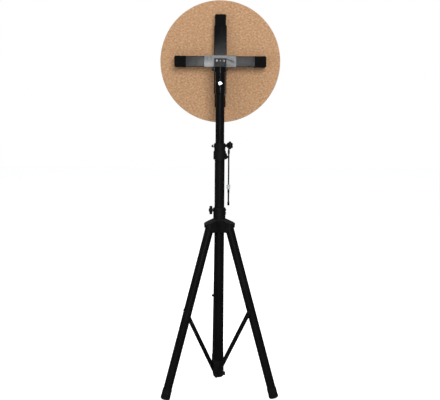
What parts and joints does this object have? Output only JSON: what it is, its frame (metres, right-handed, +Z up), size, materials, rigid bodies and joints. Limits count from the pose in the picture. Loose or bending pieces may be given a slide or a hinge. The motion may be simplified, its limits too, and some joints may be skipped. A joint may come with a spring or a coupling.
{
  "type": "practice pad",
  "caption": "Large round practice pad that tilts on a telescopic folding tripod, carried by crossed bars with rubber boots.",
  "frame": {"origin": "on the floor under the middle of the overall box; the main tube's axis stands at X 0, Y -58 mm", "axes": "+Z up, +Y the way the upright pad's playing face points, +X to the right seen from the support side"},
  "size_m": [0.4845, 0.4266, 1.5853],
  "materials": {
    "board": "matte",
    "face_rubber": "matte",
    "black_coat": "satin",
    "gloss_black": "gloss",
    "grey_plate": "satin",
    "speckled": "textured",
    "boot_rubber": "matte",
    "zinc": "satin",
    "nickel": "polished",
    "black_plastic": "matte",
    "cast_black": "satin",
    "cord": "woven",
    "clear_plastic": "gloss",
    "black_screw": "satin",
    "foot_rubber": "matte"
  },
  "bodies": {
    "stand": {"main_tube": "black_coat", "foot_casting": "cast_black", "top_collar": "black_plastic", "collar_screw": "black_screw", "clamp_ring": "black_plastic", "clamp_bush": "black_plastic"},
    "lock_knob": {"lock_knob": "black_plastic", "lock_stud": "zinc"},
    "pin_line": {"pin_cord": "cord", "cord_stop": "clear_plastic", "safety_pin": "zinc"},
    "pole": {"inner_pole": "black_coat", "pole_bush": "black_plastic"},
    "socket": {"head_socket": "gloss_black", "socket_plug": "black_plastic", "socket_screw": "nickel"},
    "head": {"tilt_bracket": "grey_plate", "tilt_fork": "speckled", "centre_screws": "zinc", "tilt_bolt": "black_screw", "tilt_nut": "black_screw", "horizontal_bar": "gloss_black", "vertical_bar": "gloss_black", "vertical_channel": "gloss_black", "boot_top": "boot_rubber", "boot_bottom": "boot_rubber", "boot_left": "boot_rubber", "boot_right": "boot_rubber", "pad_board": "board", "tee_nuts": "zinc", "playing_surface": "face_rubber"},
    "hub": {"leg_hub": "black_plastic", "hub_screws": "zinc", "leg_pivot_bolts": "black_screw"},
    "hub_knob": {"hub_knob": "black_plastic", "hub_knob_stud": "zinc"},
    "leg_front": {"leg_tube_front": "black_coat", "rubber_foot_front": "foot_rubber", "brace_bolt_front": "black_screw"},
    "brace_front": {"brace_strap_front": "black_coat", "brace_rivet_front": "black_screw"},
    "leg_left": {"leg_tube_left": "black_coat", "rubber_foot_left": "foot_rubber", "brace_bolt_left": "black_screw"},
    "brace_left": {"brace_strap_left": "black_coat", "brace_rivet_left": "black_screw"},
    "leg_right": {"leg_tube_right": "black_coat", "rubber_foot_right": "foot_rubber", "brace_bolt_right": "black_screw"},
    "brace_right": {"brace_strap_right": "black_coat", "brace_rivet_right": "black_screw"}
  },
  "joints": [
    {"name": "leg_fold", "type": "slide", "parent": "stand", "child": "hub", "axis": [0, 0, 1], "range_m": [-0.029, 0.0582]},
    {"name": "pole_slide", "type": "slide", "parent": "stand", "child": "pole", "axis": [0, 0, 1], "range_m": [-0.13, 0.25]},
    {"name": "head_swivel", "type": "hinge", "parent": "pole", "child": "socket", "pos_m": [0, -0.058, 1.219], "axis": [0, 0, 1], "continuous": true},
    {"name": "head_tilt", "type": "hinge", "parent": "socket", "child": "head", "pos_m": [0, -0.058, 1.3135], "axis": [1, 0, 0], "range_deg": [0, 90]},
    {"name": "lock_knob_turn", "type": "hinge", "parent": "stand", "child": "lock_knob", "pos_m": [0.02121, -0.03679, 1.0108], "axis": [0.7071, 0.7071, 0], "range_deg": [0, 360]},
    {"name": "safety_pin_swing", "type": "hinge", "parent": "stand", "child": "pin_line", "pos_m": [0.0367, -0.0213, 1.0108], "axis": [0.7071, 0.7071, 0], "range_deg": [-35, 35]},
    {"name": "hub_knob_turn", "type": "hinge", "parent": "hub", "child": "hub_knob", "pos_m": [-0.035, -0.058, 0.751], "axis": [1, 0, 0], "range_deg": [0, 360]},
    {"name": "leg_front_hinge", "type": "hinge", "parent": "hub", "child": "leg_front", "pos_m": [-0.00209, -0.01125, 0.6791], "axis": [0.999, 0.0447, 0], "range_deg": [-16.23, 8.19]},
    {"name": "brace_front_hinge", "type": "hinge", "parent": "leg_front", "child": "brace_front", "pos_m": [0.01478, 0.09063, 0.3491], "axis": [0.999, 0.0447, 0], "range_deg": [-17.16, 34.03]},
    {"name": "leg_left_hinge", "type": "hinge", "parent": "hub", "child": "leg_left", "pos_m": [-0.03944, -0.08319, 0.6791], "axis": [-0.5382, 0.8428, 0], "range_deg": [-16.23, 8.19]},
    {"name": "brace_left_hinge", "type": "hinge", "parent": "leg_left", "child": "brace_left", "pos_m": [-0.13611, -0.11952, 0.3491], "axis": [-0.5382, 0.8428, 0], "range_deg": [-17.16, 34.03]},
    {"name": "leg_right_hinge", "type": "hinge", "parent": "hub", "child": "leg_right", "pos_m": [0.04153, -0.07957, 0.6791], "axis": [-0.4608, -0.8875, 0], "range_deg": [-16.23, 8.19]},
    {"name": "brace_right_hinge", "type": "hinge", "parent": "leg_right", "child": "brace_right", "pos_m": [0.12133, -0.14511, 0.3491], "axis": [-0.4608, -0.8875, 0], "range_deg": [-17.16, 34.03]}
  ],
  "couplings": [
    {"joint": "leg_front_hinge", "follows": "leg_fold", "rad_per_m": -4.8077},
    {"joint": "brace_front_hinge", "follows": "leg_fold", "rad_per_m": 10.087},
    {"joint": "leg_left_hinge", "follows": "leg_fold", "rad_per_m": -4.8077},
    {"joint": "brace_left_hinge", "follows": "leg_fold", "rad_per_m": 10.087},
    {"joint": "leg_right_hinge", "follows": "leg_fold", "rad_per_m": -4.8077},
    {"joint": "brace_right_hinge", "follows": "leg_fold", "rad_per_m": 10.087}
  ]
}
